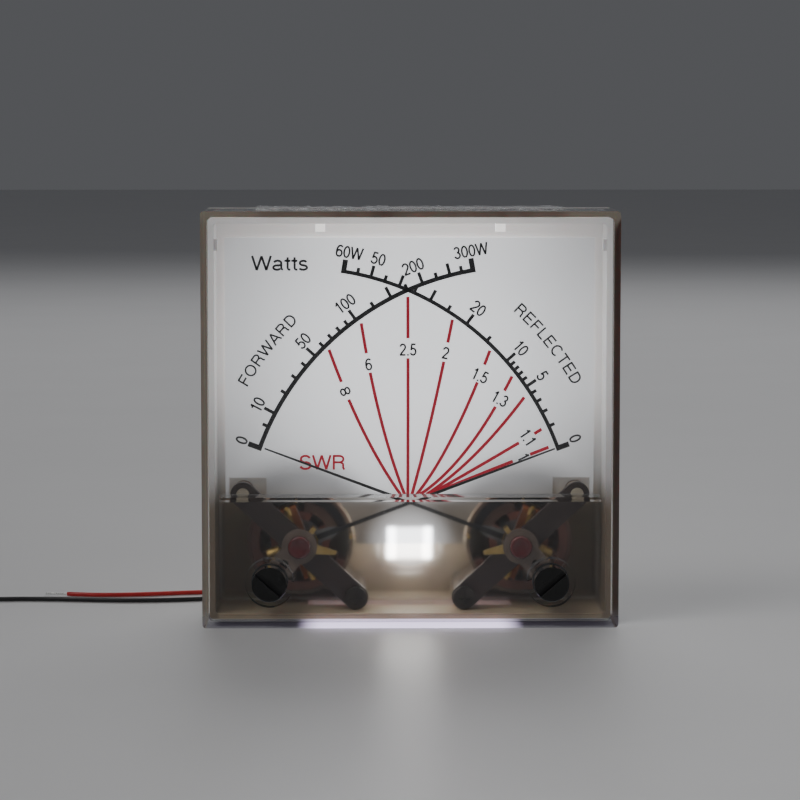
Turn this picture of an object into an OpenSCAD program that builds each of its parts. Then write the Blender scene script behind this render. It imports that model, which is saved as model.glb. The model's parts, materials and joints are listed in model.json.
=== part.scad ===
// Cross-needle SWR and power meter head: two moving-coil movements side by side behind one lit dial.
// X is to the right, Z is up, and Y runs from the front face to the terminals.
// The origin is the middle of the base. A depth is a distance behind the front face.

/* [Case] */
// Width of the clear front cover
case_w = 70; // [69:0.5:76]
// Height of the clear front cover
case_h = 70; // [69.5:0.5:76]
// Depth of the cover's side walls
cover_depth = 18; // [17:0.5:20]
// Thickness of the window
window_t = 1.6; // [1.2:0.1:2]
// Thickness of the cover's side walls
cover_wall = 1; // [0.8:0.1:1.1]
// Length of the clear sealing tape on top
tape_w = 52; // [30:1:60]

/* [Dial] */
// Width of the printed scale plate
plate_w = 63; // [60:0.5:64]
// Height of the plate's top edge above the base
plate_top = 65.2; // [62:0.2:66]
// Height of the plate's bottom edge above the base
plate_bottom = 20.8; // [20.6:0.1:21.4]
// Length of the needles from their pivots
needle_len = 46.5; // [40:0.5:47]

/* [Movements] */
// Distance of each pivot from the middle
pivot_x = 18.8; // [18.4:0.1:19.2]
// Height of the pivots above the base
pivot_z = 13; // [12.8:0.1:13.1]
// Angle of a needle at zero, above the horizontal
rest_angle = 20.5; // [18:0.5:24]
// Radius of each core, over its pole shoes
core_r = 5.1; // [4.6:0.1:5.1]
// Direction of the front bridge, from the pivot to its locating peg
bridge_angle = 137.5; // [135:0.5:139]

/* [Zero adjusters] */
// Distance of each adjuster from the middle
adjuster_x = 23.75; // [23:0.05:24]
// Height of the adjusters above the base
adjuster_z = 7.36; // [7.2:0.02:7.8]
// Radius of the black adjuster screw
adjuster_r = 2.9; // [2.4:0.05:2.9]
// Offset of the eccentric pin
eccentric = 1; // [0.8:0.1:1.1]

/* [Lamp and leads] */
// Height of the lamp above the base
lamp_z = 11.4; // [10.8:0.1:11.6]
// Diameter of a lamp lead over its insulation
lead_d = 0.8; // [0.6:0.1:1]

/* [Hidden] */
$fn = 64;
fit = 0.05;             // gap between pieces that slide or nest
over = 1;               // how far a cut runs past the face it opens

// depths, from the front face backwards
pad_depth = 2;          // back of the frosted lower panel
rim_depth = 3;          // front rim of the rear case
boss_depth = 5;         // back of the adjuster bosses
arm_depth = 6;          // front of the zero arm
ledge_depth = 6.2;      // back of the ledge under the window
bridge_depth = 7;       // front of the bridge
bridge_back = 8.4;      // back of the bridge, which is the pillars' front
needle_depths = [9.8, 10.6]; // front of the left and of the right needle, which cross
coil_depth = 11.5;      // front of the coil
plate_depth = 12;       // front of the scale plate
plate_t = 0.6;
magnet_depth = 12.8;    // front of the yoke and of the ring wall round it
magnet_back = 20.8;
coil_back = 22.1;
frame_back = 24.4;      // back of the movement frame, on the inside of the rear wall
outer_back = 26;        // outside of the rear wall
flange_t = 1.5;
tag_end = 31;           // end of the terminal tags, which is the whole depth
face_y = -tag_end / 2;

// case
nest_w = case_w - 2 * cover_wall - 0.2;
nest_h = case_h - 2 * cover_wall - 0.2;
tray_wall = 1;
tray_w = nest_w - 2 * tray_wall;
tray_h = nest_h - 2 * tray_wall;
rear_w = case_w - 3;
rear_h = case_h - 3;
mid_z = case_h / 2;
pad_w = 64;
ledge_z = 22;
ledge_t = 0.8;
boss_r = 4.1;
slot_w = 35;
shelf_t = 1.2;
notch_w = 6.4;          // of the plate's lower corners, where the bridges' pegs stand
notch_x = 30.9;

// movement
ring_r = 9.1;
ring_wall = 0.6;
yoke_r = 8.45;
yoke_t = 1.5;
magnet_r = 3.8;
coil_half = 6.45;
coil_t = 0.7;
coil_half_w = 1.5;
former_t = 0.25;
sweep_mid = rest_angle + 29.75;
coil_mid = sweep_mid + 90;
pillar_at = 13;
pillar_r = 1.7;
bridge_r = 2.1;
screw_r = 0.8;
jewel_r = 1.1;
arm_r = 3;
arm_t = 0.6;
tab_t = 0.2;
spindle_r = 0.5;
collet_r = 0.75;
pivot_r = 0.25;
spring_in = collet_r;
spring_out = 3.1;
spring_turns = 4;
spring_t = 0.14;
spring_w = 0.3;
spring_end = spring_out + spring_t; // outside of the last turn, where the anchor is
fork = [pivot_x - adjuster_x, adjuster_z - pivot_z]; // from the pivot to the adjuster
fork_len = norm(fork);
fork_angle = atan2(fork[1], fork[0]);
pin_r = 0.6;
slot_gap = 0.1;
needle_travel = [-2, 62];  // of a needle from its rest, each way
arm_travel = 6.4;          // of a zero arm, each way
needle_t = 0.2;            // thickness of a needle and of the plate behind it
low_stop = [ring_r - ring_wall / 2, needle_travel[0] - arm_travel - 4.4]; // radius, angle from rest
high_stop = [plate_bottom - pivot_z - 0.4, needle_travel[1] + arm_travel + 5.7];
stop_pin_r = 0.28;
tag_x = 6;
tag_z = 28;
tag_w = 2.6;
tag_t = 0.5;
eye_r = 0.7;
eye_depth = 29;

// lamp and leads
well_w = 8.4;
well_h = 7.4;
well_front = 19;
board_depth = 24;
board_t = 1;
led_w = 5;
led_t = 1.6;
lead_r = lead_d / 2;
tip_r = 0.2;
tip_len = 4;
lead_sides = 8;
lead_steps = 2;         // rings to each span of a route
board_y = face_y + board_depth + board_t;
red_route = [[-1.5, board_y, 12.8], [-1.5, 12, 12.8], [-2.2, 14.6, 12.6], [-4.6, 17.2, 11.8],
    [-8, 19, 10.3], [-12, 20, 8.3], [-16, 20.6, 6.2], [-20, 21, 4.2], [-24, 21.2, 2.5],
    [-28, 21.2, 1.2], [-32, 21, 0.5], [-36, 20.6, 0.45], [-41, 19.6, 0.45], [-46, 18.4, 0.45],
    [-51, 17.6, 0.45], [-56, 17.6, 0.45], [-61, 18.6, 0.45]];
black_route = [[1.5, board_y, 9.6], [1.5, 12, 9.6], [0.7, 14.4, 9.3], [-1.8, 16.4, 8.2],
    [-5.6, 17.4, 6.3], [-10, 17.8, 4.2], [-14, 17.8, 2.4], [-18, 17.4, 1], [-22, 16.8, 0.5],
    [-27, 15.6, 0.45], [-32, 14.2, 0.45], [-38, 12.6, 0.45], [-44, 11.6, 0.45],
    [-50, 11.4, 0.45], [-56, 12, 0.45], [-62, 12.8, 0.45], [-68, 13.2, 0.45],
    [-74, 12.8, 0.45], [-80, 11.8, 0.45]];

// ---- helpers ----

function polar(r, a) = [r * cos(a), r * sin(a)];

// A flat shape, drawn as the front view shows it, made solid from one depth to another.
module layer(from, to)
    translate([0, face_y + to, 0]) rotate([90, 0, 0]) linear_extrude(to - from) children();

// A rectangle with round corners about the middle of the case.
module rounded_rect(w, h, r)
    translate([0, mid_z]) union() {
        square([w - 2 * r, h], center = true);
        square([w, h - 2 * r], center = true);
        for (x = [-1, 1], z = [-1, 1])
            translate([x * (w / 2 - r), z * (h / 2 - r)]) circle(r);
    }

module ring(outer, inner)
    difference() {
        circle(outer);
        circle(inner);
    }

// A pie slice, used to cut rings into arcs.
module wedge(r, from, to) {
    step = (to - from) / 6;
    polygon(concat([[0, 0]], [for (i = [0:6]) polar(r, from + i * step)]));
}

module arc(outer, inner, from, to)
    intersection() {
        ring(outer, inner);
        wedge(outer * 1.5, from, to);
    }

// A bar with round ends between two distances along a direction.
module bar(from, to, r, angle)
    rotate(angle) {
        translate([from, -r]) square([to - from, 2 * r]);
        for (x = [from, to]) translate([x, 0]) circle(r);
    }

// The left movement's place. The right one is its mirror image.
module left() translate([-pivot_x, 0, pivot_z]) children();
module right() mirror([1, 0, 0]) left() children();

module both_adjusters()
    for (side = [-1, 1]) translate([side * adjuster_x, adjuster_z]) children();

// The places of a movement's two pillars, flat and in the assembly.
pillar_angles = [bridge_angle, bridge_angle + 180];

module pillars()
    for (a = pillar_angles) translate(polar(pillar_at, a)) children();

module on_pillar(a)
    translate([pillar_at * cos(a), 0, pillar_at * sin(a)]) children();

// ---- case ----

module front_cover() {
    cavity_w = case_w - 2 * cover_wall;
    cavity_h = case_h - 2 * cover_wall;
    pad_z = ledge_z - ledge_t;
    color([0.88, 0.91, 0.93, 0.35])
    difference() {
        union() {
            difference() {
                layer(0, cover_depth) rounded_rect(case_w, case_h, 0.6);
                layer(window_t, cover_depth + over) rounded_rect(cavity_w, cavity_h, 1);
            }
            layer(window_t, pad_depth)
                translate([-pad_w / 2, cover_wall + 1]) square([pad_w, pad_z - cover_wall - 1]);
            layer(window_t, ledge_depth)
                translate([-pad_w / 2, pad_z]) square([pad_w, ledge_t]);
            layer(window_t, boss_depth) both_adjusters() circle(boss_r);
        }
        layer(-over, boss_depth + over) both_adjusters() circle(adjuster_r + fit);
    }
}

module case_walls() {
    inner_w = rear_w - 2 * tray_wall;
    inner_h = rear_h - 2 * tray_wall;
    difference() {
        layer(rim_depth, cover_depth) rounded_rect(nest_w, nest_h, 0.9);
        layer(rim_depth - over, cover_depth + over) rounded_rect(tray_w, tray_h, 0.6);
        layer(plate_depth, cover_depth - over) square([slot_w, 5 * cover_wall], center = true);
    }
    difference() {
        layer(cover_depth, cover_depth + flange_t) rounded_rect(case_w, case_h, 0.6);
        layer(cover_depth - over, cover_depth + flange_t + over)
            rounded_rect(inner_w, inner_h, 0.6);
    }
    difference() {
        layer(cover_depth + flange_t, outer_back) rounded_rect(rear_w, rear_h, 2);
        layer(cover_depth, frame_back) rounded_rect(inner_w, inner_h, 1);
    }
}

// The shelf that the scale plate lies on: both sides, the top, and a pad behind each notch.
module plate_shelf() {
    lap = 1;
    pad_in = notch_x - notch_w - 0.7;
    layer(plate_depth + plate_t, plate_depth + plate_t + shelf_t) {
        difference() {
            intersection() {
                rounded_rect(tray_w + tray_wall, tray_h + tray_wall, 0.6);
                translate([-case_w / 2, plate_bottom]) square([case_w, case_h]);
            }
            translate([lap - plate_w / 2, 0]) square([plate_w - 2 * lap, plate_top - lap]);
        }
        for (side = [0, 1])
            mirror([side, 0]) difference() {
                translate([-tray_w / 2 - tray_wall / 2, plate_bottom])
                    square([tray_w / 2 + tray_wall / 2 - pad_in, 4.2]);
                translate([-pivot_x, pivot_z]) pillars() circle(pillar_r + 2 * fit);
            }
    }
}

// Small pegs inside the rim, which locate the front cover.
module rim_pegs() {
    wall_x = tray_w / 2 + tray_wall / 2;
    wall_z = mid_z + tray_h / 2 + tray_wall / 2;
    proud = 1.4;
    layer(rim_depth + 0.3, rim_depth + 3) {
        for (x = [-15.1, 15.1])
            translate([x - 0.8, wall_z - proud - tray_wall / 2])
                square([1.6, proud + tray_wall / 2]);
        for (side = [-1, 1])
            translate([side * (wall_x - 0.55), 64.3]) square([1.1, 1.9], center = true);
    }
}

module lamp_well() {
    wall = 0.8;
    layer(well_front, frame_back)
        translate([0, lamp_z]) square([well_w + 2 * wall, well_h + 2 * wall], center = true);
    layer(well_front - 0.6, well_front)
        translate([0, lamp_z]) square([4.9, 5.2], center = true);
}

module tag_places()
    for (side = [-1, 1], x = [-tag_x, tag_x]) translate([side * pivot_x + x, tag_z]) children();

module rear_case()
    color([0.93, 0.91, 0.85])
    difference() {
        union() {
            case_walls();
            plate_shelf();
            rim_pegs();
            lamp_well();
        }
        layer(well_front + 0.8, outer_back + over)
            translate([0, lamp_z]) square([well_w, well_h], center = true);
        layer(frame_back - over, outer_back + over) {
            for (side = [0, 1])
                mirror([side, 0]) translate([-pivot_x, pivot_z]) pillars() circle(1.1);
            tag_places() square([tag_w, tag_t], center = true);
        }
    }

module scale_plate() {
    color([0.95, 0.96, 0.97])
    layer(plate_depth, plate_depth + plate_t)
    difference() {
        union() {
            translate([-plate_w / 2, plate_bottom])
                square([plate_w, plate_top - plate_bottom]);
            translate([-13.5, 12.7]) square([27, plate_bottom - 12.7]);
        }
        for (side = [-1, 1]) {
            translate([side * pivot_x, pivot_z]) intersection() {
                circle(9.6);
                square([40, 2 * (plate_bottom - pivot_z)], center = true);
            }
            translate([side * (notch_x - notch_w / 2), plate_bottom])
                square([notch_w, 6.6], center = true);
        }
    }
}

module sealing_tape()
    color([0.9, 0.92, 0.95, 0.5])
    translate([-tape_w / 2, face_y + 1, case_h])
        cube([tape_w, cover_depth + flange_t - 1, 0.1]);

// A screw: its head, its shank, and the cross recess in the head's free face.
module pan_screw(head_r, head_from, head_to, shank_to)
    difference() {
        union() {
            layer(head_from, head_to) circle(head_r);
            layer(min(head_to, shank_to), max(head_from, shank_to)) circle(screw_r);
        }
        slot_from = shank_to > head_to ? head_from - over : head_to - 0.5;
        layer(slot_from, slot_from + over + 0.5) {
            square([2 * screw_r + 0.5, 0.5], center = true);
            square([0.5, 2 * screw_r + 0.5], center = true);
        }
    }

// Four screws through the rear wall into the pillars of the movement frames.
module case_screws()
    color([0.7, 0.7, 0.72])
    for (side = [0, 1])
        mirror([side, 0, 0]) left()
            for (a = pillar_angles)
                on_pillar(a) pan_screw(1.9, outer_back, outer_back + 1.2, 20);

module terminal_tags()
    color([0.8, 0.68, 0.4])
    for (x = [-tag_x, tag_x])
        translate([x, face_y, tag_z - pivot_z - tag_t / 2])
        difference() {
            union() {
                translate([-tag_w / 2, 22.5, 0])
                    cube([tag_w, tag_end - tag_w / 2 - 22.5, tag_t]);
                translate([0, tag_end - tag_w / 2, 0]) cylinder(r = tag_w / 2, h = tag_t);
            }
            translate([0, eye_depth, -over]) cylinder(r = eye_r, h = tag_t + 2 * over);
        }

// ---- lamp and leads ----

module lamp_board()
    color([0.12, 0.35, 0.2])
    layer(board_depth, board_depth + board_t)
        translate([0, lamp_z]) square([well_w, well_h], center = true);

module lamp_led()
    color([0.98, 0.98, 0.92])
    layer(board_depth - led_t, board_depth)
        translate([0, lamp_z]) square([led_w, led_w], center = true);

// A point on the smooth curve through a route, at a share t of the span from point i.
function on_route(p, i, t) =
    let (n = len(p) - 1,
        a = p[max(i - 1, 0)], b = p[i], c = p[min(i + 1, n)], d = p[min(i + 2, n)])
    0.5 * (2 * b + (c - a) * t + (2 * a - 5 * b + 4 * c - d) * t * t
        + (3 * b - a - 3 * c + d) * t * t * t);

function smooth_route(p) = concat(
    [for (i = [0:len(p) - 2], k = [0:lead_steps - 1]) on_route(p, i, k / lead_steps)],
    [p[len(p) - 1]]);

function unit(v) = v / norm(v);

// The corners of one ring of a tube, square to its direction.
function tube_ring(at, along, r) =
    let (across = unit(cross(along, [0, 0.05, 1])), up = cross(across, along))
    [for (k = [0:lead_sides - 1])
        at + r * (cos(k * 360 / lead_sides) * across + sin(k * 360 / lead_sides) * up)];

module tube(route, r) {
    line = smooth_route(route);
    last = len(line) - 1;
    rings = [for (i = [0:last])
        tube_ring(line[i], unit(line[min(i + 1, last)] - line[max(i - 1, 0)]), r)];
    n = lead_sides;
    polyhedron(
        points = [for (one = rings, corner = one) corner],
        faces = concat(
            [[for (k = [0:n - 1]) k]],
            [[for (k = [n - 1:-1:0]) last * n + k]],
            [for (i = [0:last - 1], k = [0:n - 1])
                [i * n + k, (i + 1) * n + k, (i + 1) * n + (k + 1) % n, i * n + (k + 1) % n]]));
}

// The bare tinned end of a lead, in line with its last stretch.
module lead_tip(route) {
    last = len(route) - 1;
    way = route[last] - route[last - 1];
    color([0.8, 0.8, 0.82])
    translate(route[last]) rotate([0, 0, atan2(way[1], way[0])]) rotate([0, 90, 0])
        cylinder(r = tip_r, h = tip_len, $fn = 24);
}

// ---- one movement, about its own pivot ----

module frame()
    color([0.9, 0.87, 0.78])
    difference() {
        union() {
            layer(magnet_depth, frame_back) ring(ring_r, ring_r - ring_wall);
            layer(23, frame_back) circle(ring_r - ring_wall / 2);
            layer(bridge_back, frame_back) pillars() circle(pillar_r);
            layer(14, frame_back)
                difference() {
                    for (a = pillar_angles)
                        rotate(a) translate([0, -1.2]) square([pillar_at, 2.4]);
                    circle(ring_r - ring_wall / 2);
                }
            layer(bridge_depth - 0.4, bridge_back)
                translate(polar(pillar_at, bridge_angle)) circle(1.1);
            layer(magnet_back + 0.1, 23)
                for (a = [sweep_mid, sweep_mid + 180])
                    rotate(a) translate([spring_end, -1]) square([ring_r - 0.4 - spring_end, 2]);
            layer(magnet_depth + 0.6, 23)
                for (a = [sweep_mid, sweep_mid + 180])
                    arc(yoke_r - yoke_t - fit, core_r + fit, a - 33, a + 33);
        }
        layer(22, frame_back + over) circle(1);
        layer(bridge_back - over, 14) translate(polar(pillar_at, bridge_angle + 180))
            circle(screw_r);
        layer(19.5, frame_back + over) pillars() circle(screw_r);
    }

module yoke()
    color([0.09, 0.08, 0.08])
    layer(magnet_depth, magnet_back) arc(yoke_r, yoke_r - yoke_t, 20, 335);

// A diametrically magnetised rod between two soft-iron pole shoes, standing on the frame.
module core_magnet()
    color([0.3, 0.29, 0.28])
    layer(magnet_depth + 0.2, magnet_back + 0.1) circle(magnet_r);

module pole_shoes()
    color([0.3, 0.14, 0.1])
    layer(magnet_depth + 0.2, magnet_back + 0.1)
        for (a = [coil_mid, coil_mid + 180])
            arc(core_r, magnet_r, a - 74, a + 74);

module front_bridge()
    color([0.2, 0.13, 0.11])
    layer(bridge_depth, bridge_back)
    difference() {
        bar(-pillar_at, pillar_at, bridge_r, bridge_angle);
        translate(polar(pillar_at, bridge_angle)) circle(1.1 + fit);
        translate(polar(-pillar_at, bridge_angle)) circle(screw_r + fit);
        circle(jewel_r);
    }

module bridge_screw()
    color([0.6, 0.6, 0.6])
    on_pillar(bridge_angle + 180) pan_screw(1.85, bridge_depth - 1, bridge_depth, 13.5);

module front_jewel_screw()
    color([0.82, 0.7, 0.42])
    difference() {
        layer(5.3, bridge_back + 0.2) circle(jewel_r);
        layer(bridge_back - 0.3, bridge_back + over) circle(pivot_r + 0.07);
    }

module lacquer_seal()
    color([0.6, 0.04, 0.04])
    difference() {
        union() {
            layer(4.7, arm_depth - fit) circle(1.93);
            layer(4.5, 4.7) circle(1.6);
        }
        layer(5.3, arm_depth) circle(jewel_r);
    }

module rear_jewel_screw()
    color([0.82, 0.7, 0.42])
    difference() {
        layer(22.9, frame_back) circle(1);
        layer(22.9 - over, 23.4) circle(pivot_r + 0.07);
        layer(frame_back - 0.4, frame_back + over) square([4, 0.4], center = true);
    }

// Two pins that stop the needle: the low one stands on the ring wall and the high one on the yoke.
module pointer_stops()
    color([0.82, 0.7, 0.42])
    for (stop = [low_stop, high_stop])
        layer(9.3, magnet_depth)
            translate(polar(stop[0], rest_angle + stop[1])) circle(stop_pin_r, $fn = 24);

module zero_adjuster()
    color([0.03, 0.03, 0.03])
    translate([fork[0], 0, fork[1]])
    difference() {
        union() {
            layer(0.1, boss_depth + 0.1) circle(adjuster_r);
            layer(boss_depth + 0.1, boss_depth + 0.6) circle(adjuster_r + 0.2);
            layer(boss_depth + 0.6, arm_depth + arm_t + 0.3)
                translate(polar(-eccentric, fork_angle)) circle(pin_r, $fn = 32);
        }
        layer(-over, 1.1) rotate(fork_angle + 90) square([9, 0.9], center = true);
    }

module zero_arm()
    color([0.85, 0.8, 0.7])
    layer(arm_depth, arm_depth + arm_t)
    difference() {
        union() {
            circle(arm_r);
            bar(0, fork_len - 0.6, 2.1, fork_angle);
        }
        circle(jewel_r + fit);
        bar(3.9, fork_len - 0.6, pin_r + slot_gap, fork_angle);
    }

// The brass washer behind the zero arm: one tail is a solder tag, the other holds the front spring.
module spring_tab()
    color([0.9, 0.7, 0.28]) {
        layer(arm_depth + arm_t, arm_depth + arm_t + tab_t)
        difference() {
            union() {
                circle(2.4);
                rotate(-10) polygon([[0, -1.2], [6.4, -0.35], [6.4, 0.35], [0, 1.2]]);
                rotate(sweep_mid) translate([0, -0.4]) square([spring_end + 0.8, 0.8]);
            }
            circle(jewel_r + fit);
        }
        layer(arm_depth + arm_t + tab_t, 9.3)
            rotate(sweep_mid) translate([spring_end, -0.4]) square([0.8, 0.8]);
    }

// A flat spiral spring, from the collet out to its anchor.
module hairspring(from, anchor) {
    steps = spring_turns * 20;
    pitch = (spring_out - spring_in) / steps;
    turn = spring_turns * 360 / steps;
    inner = [for (i = [0:steps])
        polar(spring_in + i * pitch, anchor + i * turn)];
    outer = [for (i = [steps:-1:0])
        polar(spring_in + spring_t + i * pitch, anchor + i * turn)];
    layer(from, from + spring_w) polygon(concat(inner, outer));
}

module front_hairspring() color([0.75, 0.6, 0.3]) hairspring(8.9, sweep_mid);
module rear_hairspring() color([0.75, 0.6, 0.3]) hairspring(22.35, sweep_mid);

// A rectangular loop around the core, seen along the needle: half height, depths and thickness.
module loop(half, from, to, t, half_w)
    rotate([0, -rest_angle, 0]) translate([-half_w, face_y, 0])
    difference() {
        translate([0, from, -half]) cube([2 * half_w, to - from, 2 * half]);
        translate([-over, from + t, t - half])
            cube([2 * half_w + 2 * over, to - from - 2 * t, 2 * half - 2 * t]);
    }

module coil() color([0.72, 0.36, 0.16]) loop(coil_half, coil_depth, coil_back, coil_t, coil_half_w);

module coil_former()
    color([0.75, 0.76, 0.78])
    loop(coil_half - coil_t, coil_depth + coil_t, coil_back - coil_t, former_t, coil_half_w + 0.1);

module spindle()
    color([0.55, 0.56, 0.58]) {
        layer(bridge_back - 0.2, 8.75) circle(pivot_r, $fn = 24);
        layer(8.75, 9.4) circle(collet_r, $fn = 32);
        layer(9.4, coil_depth) circle(spindle_r, $fn = 32);
        layer(coil_back, 22.8) circle(collet_r, $fn = 32);
        layer(22.8, 23.3) circle(pivot_r, $fn = 24);
    }

module needle(from)
    color([0.06, 0.06, 0.06])
    layer(from, from + needle_t)
    rotate(rest_angle)
    difference() {
        union() {
            circle(1.3);
            polygon([[0, -0.5], [7, -0.45], [8, -0.36], [needle_len, -0.13],
                [needle_len, 0.13], [8, 0.36], [7, 0.45], [0, 0.5]]);
        }
        circle(spindle_r);
    }

// The plate behind a needle: a tongue under it, a tail and two arms that carry the weights.
module balance_cross(from)
    color([0.62, 0.62, 0.6])
    layer(from + needle_t, from + 2 * needle_t)
    rotate(rest_angle)
    difference() {
        union() {
            circle(1.6);
            polygon([[0, -1.2], [5.4, -1], [6.8, -0.6], [6.8, 0.6], [5.4, 1], [0, 1.2]]);
            translate([-5.9, -0.45]) square([5.9, 0.9]);
            translate([-0.3, -6.7]) square([0.6, 13.4]);
        }
        circle(spindle_r);
    }

// The tail weight balances the needle, and the small ones trim the cross arms.
module balance_weights(from) {
    plate_front = face_y + from + needle_t;
    middle = plate_front + needle_t / 2;
    color([0.78, 0.62, 0.32])
    rotate([0, -rest_angle, 0])
    difference() {
        union() {
            translate([-5.7, middle, 0]) rotate([0, 90, 0]) cylinder(r = 1.1, h = 2.1);
            for (side = [-1, 1])
                translate([0, middle, side * 5.7 - 0.6]) cylinder(r = 0.6, h = 1.2, $fn = 32);
        }
        translate([-8, plate_front, -0.45]) cube([8, needle_t, 0.9]);
        translate([-0.3, plate_front, -8]) cube([0.6, needle_t, 16]);
    }
}

// ---- the nodes ----

front_cover();
rear_case();
scale_plate();
sealing_tape();
case_screws();
lamp_board();
lamp_led();
color([0.75, 0.05, 0.05]) tube(red_route, lead_r);  // red_lead
color([0.05, 0.05, 0.05]) tube(black_route, lead_r);  // black_lead
lead_tip(red_route);  // red_lead_tip
lead_tip(black_route);  // black_lead_tip

left() terminal_tags();  // left_terminal_tags
left() frame();  // left_frame
left() yoke();  // left_yoke
left() core_magnet();  // left_core_magnet
left() pole_shoes();  // left_pole_shoes
left() front_bridge();  // left_front_bridge
left() bridge_screw();  // left_bridge_screw
left() front_jewel_screw();  // left_front_jewel_screw
left() lacquer_seal();  // left_lacquer_seal
left() rear_jewel_screw();  // left_rear_jewel_screw
left() pointer_stops();  // left_pointer_stops
left() zero_adjuster();  // left_zero_adjuster
left() zero_arm();  // left_zero_arm
left() spring_tab();  // left_spring_tab
left() front_hairspring();  // left_front_hairspring
left() rear_hairspring();  // left_rear_hairspring
left() coil();  // left_coil
left() coil_former();  // left_coil_former
left() spindle();  // left_spindle
left() needle(needle_depths[0]);  // left_needle
left() balance_cross(needle_depths[0]);  // left_balance_cross
left() balance_weights(needle_depths[0]);  // left_balance_weights

right() terminal_tags();  // right_terminal_tags
right() frame();  // right_frame
right() yoke();  // right_yoke
right() core_magnet();  // right_core_magnet
right() pole_shoes();  // right_pole_shoes
right() front_bridge();  // right_front_bridge
right() bridge_screw();  // right_bridge_screw
right() front_jewel_screw();  // right_front_jewel_screw
right() lacquer_seal();  // right_lacquer_seal
right() rear_jewel_screw();  // right_rear_jewel_screw
right() pointer_stops();  // right_pointer_stops
right() zero_adjuster();  // right_zero_adjuster
right() zero_arm();  // right_zero_arm
right() spring_tab();  // right_spring_tab
right() front_hairspring();  // right_front_hairspring
right() rear_hairspring();  // right_rear_hairspring
right() coil();  // right_coil
right() coil_former();  // right_coil_former
right() spindle();  // right_spindle
right() needle(needle_depths[1]);  // right_needle
right() balance_cross(needle_depths[1]);  // right_balance_cross
right() balance_weights(needle_depths[1]);  // right_balance_weights
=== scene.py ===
"""The looks of a cross-needle SWR meter head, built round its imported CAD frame."""
import json
import math

import bmesh
import bpy
from mathutils import Matrix, Vector, noise


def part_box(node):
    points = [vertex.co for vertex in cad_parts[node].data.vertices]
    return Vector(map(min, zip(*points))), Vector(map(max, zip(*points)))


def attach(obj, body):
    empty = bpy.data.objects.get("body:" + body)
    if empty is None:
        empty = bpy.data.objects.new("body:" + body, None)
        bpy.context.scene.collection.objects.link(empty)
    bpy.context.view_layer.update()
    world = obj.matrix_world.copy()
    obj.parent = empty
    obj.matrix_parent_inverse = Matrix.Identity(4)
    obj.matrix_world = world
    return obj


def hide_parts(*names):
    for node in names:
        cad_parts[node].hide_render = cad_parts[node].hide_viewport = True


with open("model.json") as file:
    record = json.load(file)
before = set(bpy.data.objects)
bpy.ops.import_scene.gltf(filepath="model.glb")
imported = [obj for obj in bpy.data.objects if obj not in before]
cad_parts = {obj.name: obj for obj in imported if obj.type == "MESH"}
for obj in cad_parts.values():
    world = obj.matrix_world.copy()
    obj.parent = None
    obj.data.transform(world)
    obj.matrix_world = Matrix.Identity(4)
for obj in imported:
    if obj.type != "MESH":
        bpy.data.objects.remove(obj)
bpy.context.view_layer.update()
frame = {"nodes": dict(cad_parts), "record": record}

MM = 0.001


def box_mm(node):
    """A CAD node's lowest and highest corners, in millimetres."""
    low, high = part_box(node)
    return Vector(low) / MM, Vector(high) / MM


# ---- places that the CAD model settles, in millimetres ----

FACE_Y = box_mm("front_cover")[0].y     # the front face; depths are measured back from it
PLATE_FRONT = box_mm("scale_plate")[0].y
BOARD_Y = box_mm("lamp_board")[1].y     # the back of the lamp's board
LAMP = sum(box_mm("lamp_led"), Vector()) / 2
PIVOT = sum(box_mm("right_front_jewel_screw"), Vector()) / 2
PIVOT_X = PIVOT.x
PIVOT_Z = PIVOT.z
TAPE_LOW, TAPE_HIGH = box_mm("sealing_tape")
LEDGE_Z = 22                            # top of the ledge across the cover
ABOVE_ALL = 90                          # a height above the whole meter
REST = 20.5                             # a needle's angle above the horizontal at zero
SIDES = (("left", -1), ("right", 1))

# The case's two hollows: half width, heights and depths.
TRAY = (33.85, (1.2, 68.85), (0, 18))
REAR_BOX = (32.55, (2.45, 67.55), (18.1, 24.45))

# ---- the dial's own sizes ----

FORWARD_R = 47.3
REFLECTED_R = 47.05
PRINT_T = 0.03          # how far the print stands proud of the plate
PRINT_SINK = 0.01       # how far it reaches into the plate
TICK_DROP = 0.002       # keeps the front of a tick off the front of its scale's line
SHORT_TICK = 0.75       # beyond the edge of the scale's line
LONG_TICK = 1.7
TICK_W = 0.56
END_W = 0.9             # width of a scale's end ticks
END_TURN = 0.43         # degrees from the middle of an end tick to the end of the line
CURVE_W = 0.55          # width of the red lines
STROKE = 0.15           # width of a letter's strokes, as a share of a capital's height
NUMBER_H = 2.08
NUMBER_SPREAD = 1.09    # how much wider the characters are than drawn below
NUMBER_GAP = 3.35       # from the scale's line to the middle of a number
WORD_H = 2.0            # of the words along the scales
WORD_SPREAD = 1.36
WORD_PITCH = 1.45       # the same for the steps from letter to letter
TITLE_H = 2.5           # of the unit and of SWR
LABEL_H = 2.06          # of the numbers on the red lines
LABEL_SPREAD = 1.05

# ---- the leads' routes, as the CAD model has them ----

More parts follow.
